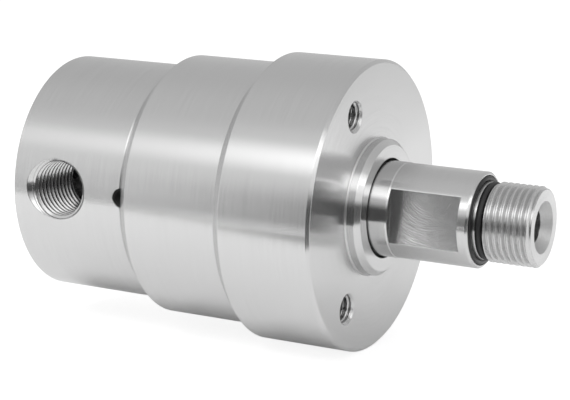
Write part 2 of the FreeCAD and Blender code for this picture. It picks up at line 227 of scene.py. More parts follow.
class UnionThreadSizes(bpy.types.PropertyGroup):
    """Sizes of the cut threads."""

    steps: flat_steps("Steps", "Flat steps in one turn of a thread", 72, 12)
    pipe_pitch: length("Pipe pitch", "Pitch of the port and nose threads, 19 to the inch", 1.337)
    bolt_pitch: length("Bolt pitch", "Pitch of the three tapped holes", 1.0)
    port_mouth: length("Port mouth", "Diameter of the supply port's countersink", 14.9)
    port_drill: length("Port drill", "Diameter of the supply port's tapping drill", 11.8)
    bolt_mouth: length("Bolt mouth", "Diameter of the tapped holes' countersinks", 6.8)
    bolt_drill: length("Bolt drill", "Diameter of the tapped holes' tapping drill", 5.0)
    bolt_depth: length("Bolt thread depth", "Length of thread in each tapped hole", 11.5)


class UnionSpringSizes(bpy.types.PropertyGroup):
    """Sizes of the flat-wire spring behind the floating seal ring."""

    turns: FloatProperty(name="Turns", description="Turns of the spring", default=3.5, min=1.0)
    wire_width: length("Wire width", "Width of the flat wire, across the spring's axis", 1.2)
    wire_height: length("Wire height", "Thickness of the flat wire, along the spring's axis", 0.8)


class UnionFinishes(bpy.types.PropertyGroup):
    """Colours of the visible materials."""

    stainless: colour("Stainless steel", "Bright turned stainless steel", "#D6D6D6")
    hardened: colour("Hardened steel", "Ground and hardened bearing steel", "#CFD0D2")
    spring: colour("Spring steel", "Drawn spring steel", "#A9AAAD")
    resin: colour("Cage resin", "Fabric reinforced resin", "#9A6B3C")
    rubber: colour("Nitrile rubber", "Black nitrile rubber", "#1D1D1E")
    carbide: colour("Silicon carbide", "Lapped silicon carbide", "#5A5C60")
    graphite: colour("Carbon graphite", "Machined carbon graphite", "#2C2C2E")
    fluoropolymer: colour("Fluoropolymer", "White backup ring", "#E9E7E0")


class UnionStudio(bpy.types.PropertyGroup):
    """Camera, table, light tent and lamps."""

    camera_azimuth: angle("Camera azimuth", "Angle of the camera's place from +X", -65.47)
    camera_elevation: angle("Camera elevation", "Angle of the camera's place above the table", 10.005)
    camera_distance: length("Camera distance", "From the flange's centre to the camera", 389.39)
    camera_roll: angle("Camera roll", "Turn of the camera about its view", 2.146)
    camera_target: point("Camera target", "Point in the middle of the picture", (-16.936, -8.642, 0.632))
    lens: FloatProperty(name="Lens", description="Focal length", default=116.495, min=1.0, unit="CAMERA")
    sensor: FloatProperty(name="Sensor", description="Film width", default=36.0, min=1.0, unit="CAMERA")
    clip_start: length("Clip start", "Nearest distance that the camera shows", 10.0)
    clip_end: length("Clip end", "Farthest distance that the camera shows", 20000.0)
    table: colour("Table", "Matt white table", "#F6F6F6")
    table_shade: colour("Table shade", "What the camera sees of the table's own colour", "#959595")
    table_glow: brightness("Table glow", "Glow that makes the table white to the camera", 0.85)
    # The glow that only metal sees is painted light: dim near the part as painted shade, and brighter away
    # from it.
    glow_start: length("Mirrored glow start", "Where the glow that metal sees begins to grow", 110.0)
    glow_end: length("Mirrored glow end", "Where that glow is full", 230.0)
    glow_near: brightness("Mirrored glow near", "That glow near the part", 0.08)
    glow_far: brightness("Mirrored glow far", "That glow away from the part", 0.32)
    tent_radius: length("Tent radius", "Radius of the light tent round the part", 450.0)
    tent_length: length("Tent length", "Length of the light tent", 2000.0)
    tent_middle: point("Tent middle", "Middle of the light tent", (-350, 0, 0))
    tent_sides: flat_steps("Tent sides", "Flat steps round the tent", 96, 24)
    lamp_power: FloatProperty(name="Top lamp", description="Its power", default=5.0, min=0.0, unit="POWER")
    lamp_width: length("Top lamp width", "Width of the top lamp", 500.0)
    lamp_place: point("Top lamp place", "Middle of the top lamp", (-350, -550, 700))
    side_lamp_place: point("Side lamp place", "Middle of the round lamp", (672.8, -113.6, 417.6))
    side_lamp_radius: length("Side lamp radius", "Radius of the round lamp", 120.0)
    side_lamp_level: brightness("Side lamp", "Brightness of the round lamp", 2.4)
    side_lamp_sides: flat_steps("Side lamp sides", "Flat steps round the round lamp", 48, 12)
    surroundings: brightness("Surroundings", "Even light from all round on matt surfaces", 0.72)


def settings(group):
    """One of the groups of settings."""
    return getattr(bpy.context.scene, "union_" + group)


def deselect():
    """Leaves object mode with nothing selected."""
    if bpy.context.object and bpy.context.object.mode != "OBJECT":
        bpy.ops.object.mode_set(mode="OBJECT")
    bpy.ops.object.select_all(action="DESELECT")


def select_only(piece):
    """Makes one piece the active and only selected object."""
    deselect()
    bpy.context.view_layer.objects.active = piece
    piece.select_set(True)


def apply_place(piece):
    """Moves a piece's place, turn and scale into its mesh."""
    select_only(piece)
    bpy.ops.object.transform_apply(location=True, rotation=True, scale=True)


def mend(piece):
    """Merges doubled points, closes open ends and turns all faces outwards."""
    select_only(piece)
    bpy.ops.object.mode_set(mode="EDIT")
    bpy.ops.mesh.select_all(action="SELECT")
    bpy.ops.mesh.remove_doubles(threshold=WELD_DISTANCE)
    bpy.ops.mesh.select_all(action="DESELECT")
    bpy.ops.mesh.select_mode(type="EDGE")
    bpy.ops.mesh.select_non_manifold()
    bpy.ops.mesh.fill_holes(sides=0)
    bpy.ops.mesh.select_all(action="SELECT")
    bpy.ops.mesh.normals_make_consistent(inside=False)
    bpy.ops.object.mode_set(mode="OBJECT")


def turned(name, outline, sides):
    """Turns a closed outline of (x, radius) points: a circle is extruded and resized from point to point."""
    deselect()
    x, radius = outline[0]
    bpy.ops.mesh.primitive_circle_add(
        vertices=sides, radius=radius, location=(x, 0, 0), rotation=(0, math.pi / 2, 0)
    )
    piece = bpy.context.object
    piece.name = name
    bpy.ops.object.mode_set(mode="EDIT")
    for (last_x, last_radius), (x, radius) in zip(outline, outline[1:] + outline[:1]):
        bpy.ops.mesh.extrude_region_move(TRANSFORM_OT_translate={"value": (x - last_x, 0, 0)})
        share = radius / last_radius
        bpy.ops.transform.resize(value=(1, share, share), center_override=(x, 0, 0))
    apply_place(piece)
    mend(piece)
    return piece


def helical_bar(name, section, pitch, turns, steps):
    """Bar wound about the X axis from a section of (along, radius) points, closed at both ends.

    The steps are the flat steps in one turn.
    """
    deselect()
    bpy.ops.mesh.primitive_circle_add(vertices=len(section), radius=pitch)
    piece = bpy.context.object
    piece.name = name
    for vertex, (along, radius) in zip(piece.data.vertices, section):
        vertex.co = (along, 0, radius)
    bpy.ops.object.modifier_add(type="SCREW")
    screw = piece.modifiers[-1]
    screw.axis = "X"
    screw.angle = turns * 2 * math.pi
    screw.screw_offset = turns * pitch
    screw.steps = round(turns * steps)
    screw.render_steps = screw.steps
    bpy.ops.object.modifier_apply(modifier=screw.name)
    mend(piece)
    return piece


def carve(piece, cutter):
    """Cuts a piece with another one, which is then removed."""
    select_only(piece)
    bpy.ops.object.modifier_add(type="BOOLEAN")
    cut = piece.modifiers[-1]
    cut.operation = "DIFFERENCE"
    cut.solver = "EXACT"
    cut.object = cutter
    bpy.ops.object.modifier_apply(modifier=cut.name)
    bpy.data.objects.remove(cutter)


def smooth(piece):
    """Shades a piece smooth except over its sharp edges."""
    select_only(piece)
    bpy.ops.object.shade_smooth_by_angle(angle=math.radians(SHARP_ANGLE))


def thread_section(pitch, flank, middle, wide, narrow):
    """Section of a thread between its wide and narrow radii, half a pitch across at its middle radius."""
    slope = math.tan(math.radians(flank))

    def half_width(radius):
        return pitch / 4 + slope * (radius - middle)

    return [
        (-half_width(wide), wide), (-half_width(narrow), narrow),
        (half_width(narrow), narrow), (half_width(wide), wide),
    ]


def add_node(tree, kind, sockets=None, **options):
    """Adds a shader node with its options, and its sockets, by name or number, set to values or linked."""
    node = tree.nodes.new("ShaderNode" + kind)
    for name, value in options.items():
        setattr(node, name, value)
    for name, value in (sockets or {}).items():
        if isinstance(value, bpy.types.Node):
            value = value.outputs[0]
        if isinstance(value, bpy.types.NodeSocket):
            tree.links.new(value, node.inputs[name])
        else:
            node.inputs[name].default_value = value
    return node


def new_material(name):
    """Node material with an empty tree, and that tree."""
    material = bpy.data.materials.new(name)
    material.use_nodes = True
    material.node_tree.nodes.clear()
    return material, material.node_tree


def cutter_lay(tree, feed, streak_width, stretch, centre, spread):
    """Pattern of a cut surface: its groove wave, its streaks and the direction of its grooves.

    A tool leaves fine grooves round the axis of the cut, on its sides and its faces alike, so the pattern
    follows the distance along the axis plus the radius. The spread is one across the axis and nought along.
    """
    place = add_node(tree, "TexCoord").outputs["Object"]
    place = add_node(tree, "VectorMath", {0: place, 1: tuple(centre)}, operation="SUBTRACT")
    swung = add_node(tree, "VectorMath", {0: place, 1: tuple(spread)}, operation="MULTIPLY")
    radius = add_node(tree, "VectorMath", {0: swung}, operation="LENGTH").outputs["Value"]
    axis = Vector((1, 1, 1)) - Vector(spread)
    depth = add_node(tree, "VectorMath", {0: place, 1: tuple(axis)}, operation="DOT_PRODUCT").outputs["Value"]
    along = add_node(tree, "Math", {0: depth, 1: radius}, operation="ADD")
    phase = add_node(tree, "Math", {0: along, 1: 2 * math.pi / feed}, operation="MULTIPLY")
    grooves = add_node(tree, "Math", {0: phase}, operation="SINE")
    across = add_node(tree, "Math", {0: along, 1: 1 / streak_width}, operation="MULTIPLY")
    across = add_node(tree, "CombineXYZ", {0: across, 1: across, 2: across})
    shrink = 1 / (stretch * streak_width)
    shrunk = add_node(tree, "VectorMath", {0: swung, "Scale": shrink}, operation="SCALE")
    drawn = add_node(tree, "VectorMath", {0: across, 1: tuple(axis), 2: shrunk}, operation="MULTIPLY_ADD")
    streaks = add_node(tree, "TexNoise", {
        "Vector": drawn, "Scale": 1.0, "Detail": STREAK_DETAIL, "Roughness": DETAIL_SHARE,
    })
    circling = add_node(tree, "VectorMath", {0: tuple(axis), 1: swung}, operation="CROSS_PRODUCT")
    lay = add_node(
        tree, "VectorTransform", {0: circling},
        vector_type="VECTOR", convert_from="OBJECT", convert_to="WORLD",
    )
    return grooves, streaks, lay


def streaked(tree, pattern, bright, share):
    """Colour that a pattern darkens by up to a share."""
    dark = tuple(part * (1 - share) for part in bright[:3]) + (1.0,)
    return add_node(tree, "Mix", {0: pattern, 6: tuple(bright), 7: dark}, data_type="RGBA").outputs[2]


def varied(tree, pattern, value, share):
    """Value that a noise pattern lowers and raises by up to a share."""
    return add_node(tree, "MapRange", {
        0: pattern, 1: NOISE_LOW, 2: NOISE_HIGH, 3: value * (1 - share), 4: value * (1 + share),
    })


def cut_stainless(
    name, roughness=0.2, directional=1.0, feed=0.5 * MM, streak_width=0.35 * MM, relief_height=0.0004 * MM,
    dullness=0.02, stretch=40, centre=(0, 0, 0), spread=(0, 1, 1),
):
    """Stainless steel from a cutting tool: bright and neutral, with reflections drawn out across its grooves.

    Real grooves lie about 0.1 mm apart, which is too fine to show here, so they are drawn coarser. The bevel
    gives the edges their thin bright lines.
    """
    material, tree = new_material(name)
    grooves, streaks, lay = cutter_lay(tree, feed, streak_width, stretch, centre, spread)
    shade = add_node(tree, "MapRange", {0: streaks, 1: STREAK_LOW, 2: STREAK_HIGH, 3: 0.0, 4: 1.0})
    wave = add_node(tree, "Math", {0: grooves, 1: GROOVE_SHARE, 2: streaks}, operation="MULTIPLY_ADD")
    edges = add_node(tree, "Bevel", {"Radius": EDGE_BREAK}, samples=BEVEL_SAMPLES)
    relief = add_node(tree, "Bump", {
        "Strength": 1.0, "Distance": relief_height, "Height": wave, "Normal": edges,
    })
    steel = add_node(tree, "BsdfPrincipled", {
        "Base Color": streaked(tree, shade, settings("finishes").stainless, dullness), "Metallic": 1.0,
        "Roughness": varied(tree, streaks, roughness, CUT_SPREAD), "Normal": relief, "Tangent": lay,
        "Anisotropic": directional, "Anisotropic Rotation": QUARTER_TURN,
    })
    add_node(tree, "OutputMaterial", {"Surface": steel})
    return material


def plain_finish(name, base, roughness, grain, metallic=0.0, mottling=0.1, relief=0.0):
    """Even material with a fine grain of a real size in its colour, its roughness and its relief."""
    material, tree = new_material(name)
    place = add_node(tree, "TexCoord").outputs["Object"]
    noise = add_node(tree, "TexNoise", {
        "Vector": place, "Scale": 1 / grain, "Detail": GRAIN_DETAIL, "Roughness": DETAIL_SHARE,
    })
    bump = add_node(tree, "Bump", {"Strength": 1.0, "Distance": relief, "Height": noise})
    shader = add_node(tree, "BsdfPrincipled", {
        "Base Color": streaked(tree, noise, base, mottling), "Metallic": metallic,
        "Roughness": varied(tree, noise, roughness, PLAIN_SPREAD), "Normal": bump,
    })
    add_node(tree, "OutputMaterial", {"Surface": shader})
    return material


def spring_steel(name):
    """Drawn spring steel, a darker and satin grey."""
    return plain_finish(
        name, settings("finishes").spring, roughness=0.3, grain=0.4 * MM, metallic=1.0, relief=0.001 * MM
    )


def finish(material, *nodes):
    """Gives CAD nodes a material."""
    for name in nodes:
        frame["nodes"][name].data.materials.clear()
        frame["nodes"][name].data.materials.append(material)


def on_bolt_circle(number, count):
    """Place of a tapped hole on the flange face, with the port's direction midway between first and last."""
    turn = (number + 0.5) * 2 * math.pi / count
    reach = mount_size("flange_bolts", "pcd_mm") / 2
    return Vector((0, -reach * math.cos(turn), reach * math.sin(turn)))


class UNION_OT_rotor_shaft(bpy.types.Operator):
    """Turns the rotor shaft, mills its flats and cuts its pipe thread"""

    bl_idname = "union.rotor_shaft"
    bl_label = "Rotor shaft"

    def outline(self, sizes):
        """Closed outline of the turned shaft as (x, radius) points, from the seal seat round by the nose."""
        shaft = sizes.shaft_diameter / 2
        journal = shaft + sizes.journal_step
        nose = journal - sizes.nose_step
        tail = shaft - sizes.tail_relief
        thread = mount_size("nose_thread", "r_mm")
        bore = mount_size("nose_bore", "r_mm")
        seat_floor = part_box("rotating_seal_ring")[1].x
        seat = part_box("rotating_seal_ring")[1].y
        ring_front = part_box("shaft_retaining_ring")[1].x
        ring_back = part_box("shaft_retaining_ring")[0].x - sizes.groove_clearance
        shoulder_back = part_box("front_inner_ring")[1].x
        shoulder_front = shoulder_back + sizes.shoulder_thickness
        mouth = sizes.cone_mouth / 2
        recess_floor = sizes.collar_end - sizes.recess_depth
        return [
            (seat_floor, bore), (seat_floor, seat), (SHAFT_LOW.x, seat),
            (SHAFT_LOW.x, tail - sizes.tail_chamfer), (SHAFT_LOW.x + sizes.tail_chamfer, tail),
            (ring_back, tail), (ring_back, shaft - sizes.groove_depth),
            (ring_front, shaft - sizes.groove_depth), (ring_front, shaft), (shoulder_back, shaft),
            (shoulder_back, SHAFT_HIGH.y), (shoulder_front, SHAFT_HIGH.y), (shoulder_front, journal),
            (sizes.step_distance, journal), (sizes.step_distance + sizes.nose_step, nose),
            (sizes.collar_end - sizes.collar_chamfer, nose), (sizes.collar_end, nose - sizes.collar_chamfer),
            (sizes.collar_end, sizes.recess_diameter / 2), (recess_floor, sizes.recess_diameter / 2),
            (recess_floor, sizes.hub_diameter / 2), (sizes.hub_end, sizes.hub_diameter / 2),
            (sizes.hub_end, sizes.undercut_diameter / 2), (sizes.thread_start, sizes.undercut_diameter / 2),
            (sizes.thread_start + sizes.thread_chamfer, thread),
            (SHAFT_HIGH.x - sizes.thread_chamfer, thread), (SHAFT_HIGH.x, thread - sizes.thread_chamfer),
            (SHAFT_HIGH.x, mouth), (SHAFT_HIGH.x - (mouth - bore), bore),
        ]

    def mill_flats(self, shaft, sizes):
        """Cuts the two wrench flats with blocks beside the shaft."""
        middle = (sizes.flats_start + sizes.flats_end) / 2
        wide = sizes.shaft_diameter
        for side in (-1, 1):
            deselect()
            beside = side * (sizes.flats_width + wide) / 2
            bpy.ops.mesh.primitive_cube_add(size=1, location=(middle, beside, 0))
            block = bpy.context.object
            block.scale = (sizes.flats_end - sizes.flats_start, wide, 2 * wide)
            apply_place(block)
            carve(shaft, block)

    def cut_thread(self, shaft, sizes, threads):
        """Cuts the pipe thread's groove with a helical bar that runs out at both ends."""
        pitch = threads.pipe_pitch
        major = mount_size("nose_thread", "r_mm")
        minor = major - PIPE_THREAD_DEPTH * pitch
        section = thread_section(pitch, PIPE_FLANK, (major + minor) / 2, major + OVERLAP, minor)
        turns = math.ceil((SHAFT_HIGH.x - sizes.thread_start) / pitch) + 1
        cutter = helical_bar("thread_cutter", section, pitch, turns, threads.steps)
        cutter.location.x = sizes.thread_start - pitch / 2
        apply_place(cutter)
        carve(shaft, cutter)

    def paint(self, shaft, sizes):
        """Gives the journal, the flats, the thread and the cone's mouth their own finishes."""
        # Turned stainless steel is bright and neutral, and draws its reflections out along the shaft.
        shaft.data.materials.append(cut_stainless("turned_stainless_rotor"))
        # The ground seal journal has finer marks and a sharper shine.
        shaft.data.materials.append(cut_stainless(
            "ground_stainless_journal", roughness=0.18, feed=0.3 * MM, streak_width=0.3 * MM,
            relief_height=0.0002 * MM,
        ))
        # The milled flats are duller and show the end mill's arcs, drawn coarser than the real ones.
        shaft.data.materials.append(cut_stainless(
            "milled_stainless_flats", roughness=0.22, directional=0.4, streak_width=0.24 * MM,
            relief_height=0.0032 * MM, dullness=0.24, stretch=9, centre=STROKE_CENTRE, spread=(1, 0, 1),
        ))
        # The cut thread has softer highlights along its crests.
        shaft.data.materials.append(cut_stainless(
            "cut_stainless_thread", roughness=0.28, directional=0.8, feed=0.3 * MM, streak_width=0.1 * MM
        ))
        # The reamed cone is an even, satin grey with a fine grain.
        shaft.data.materials.append(plain_finish(
            "reamed_stainless_cone", settings("finishes").stainless, roughness=0.5, grain=0.25 * MM,
            metallic=1.0, mottling=0.4, relief=0.004 * MM,
        ))
        for face in shaft.data.polygons:
            place = face.center
            square = abs(face.normal.y) > SQUARE or abs(face.normal.x) > SQUARE
            along_flats = sizes.flats_start - OVERLAP < place.x < sizes.flats_end + OVERLAP
            if sizes.hub_end < place.x < SHAFT_HIGH.x - OVERLAP:
                face.material_index = REAMED if place.yz.length < sizes.cone_mouth / 2 else THREADED
            elif square and along_flats and abs(place.y) > sizes.flats_width / 2 - OVERLAP:
                face.material_index = MILLED
            elif place.x < sizes.step_distance:
                face.material_index = GROUND
            else:
                face.material_index = TURNED

    def execute(self, context):
        sizes = settings("shaft")
        shaft = turned("threaded_rotor_shaft", self.outline(sizes), sizes.sides)
        self.mill_flats(shaft, sizes)
        self.cut_thread(shaft, sizes, settings("threads"))
        smooth(shaft)
        self.paint(shaft, sizes)
        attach(shaft, "rotor")
        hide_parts("rotor_shaft")
        return {"FINISHED"}


class UNION_OT_neck_ring(bpy.types.Operator):
    """Puts the black rubber ring round the neck behind the nose thread"""

    bl_idname = "union.neck_ring"
    bl_label = "Neck ring"

    def execute(self, context):
        sizes = settings("shaft")
        inner = sizes.undercut_diameter / 2
        outer = sizes.neck_ring_diameter / 2
        half = (sizes.thread_start - sizes.hub_end) / 2
        deselect()
        bpy.ops.mesh.primitive_torus_add(
            major_segments=sizes.sides, minor_segments=sizes.neck_ring_sides,
            major_radius=(inner + outer) / 2, minor_radius=half, rotation=(0, math.pi / 2, 0),
        )
        ring = bpy.context.object
        ring.name = "neck_ring"
        ring.location.x = sizes.hub_end + half
        apply_place(ring)
        smooth(ring)
        # Moulded nitrile rubber is black and nearly matt.
        ring.data.materials.append(plain_finish(
            "black_nitrile_neck_ring", settings("finishes").rubber, roughness=0.5, grain=0.3 * MM,
            relief=0.002 * MM,
        ))
        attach(ring, "rotor")
        return {"FINISHED"}


def inner_thread(name, major, drill, pitch, flank, depth, mouth, steps):
    """Ridge of a tapped hole, from the origin back along -X, cut off by the countersink of its mouth."""
    left, left_tip, right_tip, right = thread_section(pitch, flank, (major + drill) / 2, major, drill)
    foot = major + OVERLAP
    turns = math.ceil(depth / pitch)
    ridge = helical_bar(name, [(left[0], foot), left_tip, right_tip, (right[0], foot)], pitch, turns, steps)
    ridge.location.x = -turns * pitch
    apply_place(ridge)
    deselect()
    tall = mouth / 2 + pitch
    bpy.ops.mesh.primitive_cone_add(
        vertices=steps, radius1=0, radius2=tall, depth=tall, location=(pitch - tall / 2, 0, 0),
        rotation=(0, math.pi / 2, 0),
    )
    cone = bpy.context.object
    apply_place(cone)
    carve(ridge, cone)
    return ridge


def tapped_stainless(name, centre, spread=(0, 1, 1)):
    """Cut thread inside a hole: bright steel whose turns catch the light one by one."""
    return cut_stainless(
        name, directional=0.8, feed=0.3 * MM, streak_width=0.3 * MM, relief_height=0,
        centre=centre, spread=spread,
    )


class UNION_OT_supply_port_thread(bpy.types.Operator):
    """Winds the pipe thread's ridge inside the supply port"""

    bl_idname = "union.supply_port_thread"
    bl_label = "Supply port thread"

    def execute(self, context):
        threads = settings("threads")
        port = MOUNTS["supply_port"]
        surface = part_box("port_housing")[0].y
        ridge = inner_thread(
            "supply_port_thread", mount_size("supply_port", "r_mm"), threads.port_drill / 2,
            threads.pipe_pitch, PIPE_FLANK, mount_size("supply_port", "length_mm"), threads.port_mouth,
            threads.steps,
        )
        ridge.data.transform(Matrix.Rotation(-math.pi / 2, 4, "Z"))
        ridge.data.transform(Matrix.Translation((port["pos_m"][0], surface, port["pos_m"][2])))
        smooth(ridge)
        ridge.data.materials.append(tapped_stainless("tapped_stainless_port", port["pos_m"], (1, 0, 1)))
        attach(ridge, "housing")
        return {"FINISHED"}


class UNION_OT_bolt_threads(bpy.types.Operator):
    """Winds the thread ridges inside the three tapped holes"""

    bl_idname = "union.bolt_threads"
    bl_label = "Tapped hole threads"

    def execute(self, context):
        threads = settings("threads")
        count = MOUNTS["flange_bolts"]["dims"]["count"]
        model = inner_thread(
            "bolt_thread", mount_size("flange_bolts", "hole_r_mm"), threads.bolt_drill / 2,
            threads.bolt_pitch, BOLT_FLANK, threads.bolt_depth, threads.bolt_mouth, threads.steps // 2,
        )
        smooth(model)
        for number in range(count):
            place = on_bolt_circle(number, count)
            ridge = bpy.data.objects.new("bolt_thread_%d" % (number + 1), model.data.copy())
            context.scene.collection.objects.link(ridge)
            ridge.data.transform(Matrix.Translation(place))
            ridge.data.materials.append(tapped_stainless("tapped_stainless_%d" % (number + 1), place))
            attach(ridge, "housing")
        bpy.data.objects.remove(model)
        return {"FINISHED"}


class UNION_OT_housing_finish(bpy.types.Operator):
    """Gives the two housings their turned finish"""

    bl_idname = "union.housing_finish"
    bl_label = "Housing finish"

    def execute(self, context):
        # Turned stainless steel: long soft bands of light along the sides, and a fan of light on the faces.
        finish(cut_stainless("turned_stainless_flange"), "front_housing")
        # The barrel's finish is a little duller.
        finish(cut_stainless("turned_stainless_barrel", roughness=0.22), "port_housing")
        return {"FINISHED"}


class UNION_OT_boss_fillet(bpy.types.Operator):
    """Adds the small fillet that the tool leaves where the boss meets the flange"""

    bl_idname = "union.boss_fillet"
    bl_label = "Boss fillet"

    def execute(self, context):
        sizes = settings("housing")
        boss = mount_size("pilot_boss", "r_mm")
        fillet = sizes.boss_fillet
        outline = [(-OVERLAP, boss - OVERLAP), (-OVERLAP, boss + fillet)]
        for step in range(sizes.fillet_steps + 1):
            turn = step / sizes.fillet_steps * math.pi / 2
            outline.append((fillet * (1 - math.cos(turn)), boss + fillet * (1 - math.sin(turn))))
        outline.append((fillet, boss - OVERLAP))
        ring = turned("boss_fillet", outline, settings("shaft").sides)
        smooth(ring)
        # The tool's nose leaves the fillet a little duller, as a thin bright line.
        ring.data.materials.append(cut_stainless(
            "turned_stainless_fillet", roughness=0.3, directional=0.8, feed=0.3 * MM, streak_width=0.1 * MM,
            relief_height=0,
        ))
        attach(ring, "housing")
        return {"FINISHED"}


class UNION_OT_seal_spring(bpy.types.Operator):
    """Winds the flat-wire spring behind the floating seal ring, at one fixed length; the real spring shortens
    when that ring slides back
    """

    bl_idname = "union.seal_spring"
    bl_label = "Seal spring"

    def execute(self, context):
        sizes = settings("spring")
        low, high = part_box("seal_spring")
        half = sizes.wire_height / 2
        outer = high.z
        inner = outer - sizes.wire_width
        section = [(-half, inner), (-half, outer), (half, outer), (half, inner)]
        pitch = (high.x - low.x - sizes.wire_height) / sizes.turns
        spring = helical_bar("flat_wire_seal_spring", section, pitch, sizes.turns, settings("threads").steps)
        spring.location.x = low.x + half
        apply_place(spring)
        smooth(spring)
        spring.data.materials.append(spring_steel("drawn_spring_wire"))
        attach(spring, "housing")
        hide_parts("seal_spring")
        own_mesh(spring)
        return {"FINISHED"}


class UNION_OT_inner_finish(bpy.types.Operator):
    """Gives the bearings, spacers, springs and seals their finishes"""

    bl_idname = "union.inner_finish"
    bl_label = "Bearing and seal finish"

    def execute(self, context):
        looks = settings("finishes")
        # Ground and hardened bearing steel shines almost like a mirror.
        ground = plain_finish(
            "ground_bearing_steel", looks.hardened, roughness=0.12, grain=0.6 * MM, metallic=1.0
        )
        # Machined resin shows the brown weave of its cloth as a mottled matt surface.
        resin = plain_finish(
            "fabric_reinforced_resin", looks.resin, roughness=0.55, grain=0.5 * MM, mottling=0.35,
            relief=0.004 * MM,
        )
        # Moulded nitrile rubber is black with a soft shine.
        rubber = plain_finish(
            "moulded_nitrile_rubber", looks.rubber, roughness=0.32, grain=0.3 * MM, relief=0.001 * MM
        )
        # Lapped silicon carbide is dark grey and glossy, and speckled by its grain.
        carbide = plain_finish(
            "lapped_silicon_carbide", looks.carbide, roughness=0.18, grain=0.2 * MM, mottling=0.2
        )
        # Machined carbon graphite is nearly black, with a pencil's grey sheen.
        graphite = plain_finish(
            "machined_carbon_graphite", looks.graphite, roughness=0.4, grain=0.2 * MM, mottling=0.25
        )
        # Fluoropolymer is white and waxy.
        white = plain_finish("white_fluoropolymer", looks.fluoropolymer, roughness=0.45, grain=0.5 * MM)
        for end in ("front", "rear"):
            finish(ground, end + "_outer_ring", end + "_inner_ring", end + "_balls")
            finish(resin, end + "_cage")
        finish(ground, "anti_rotation_pins", "outer_spacer", "inner_spacer")
        spring = spring_steel("drawn_spring_steel")
        finish(spring, "shaft_retaining_ring", "shaft_seal_case", "seal_garter_spring")
        finish(rubber, "nose_o_ring", "housing_o_ring", "sleeve_o_ring", "seat_o_ring", "shaft_seal_lip")
        finish(carbide, "rotating_seal_ring")
        finish(graphite, "floating_seal_ring")
        finish(white, "sleeve_backup_ring")
        return {"FINISHED"}


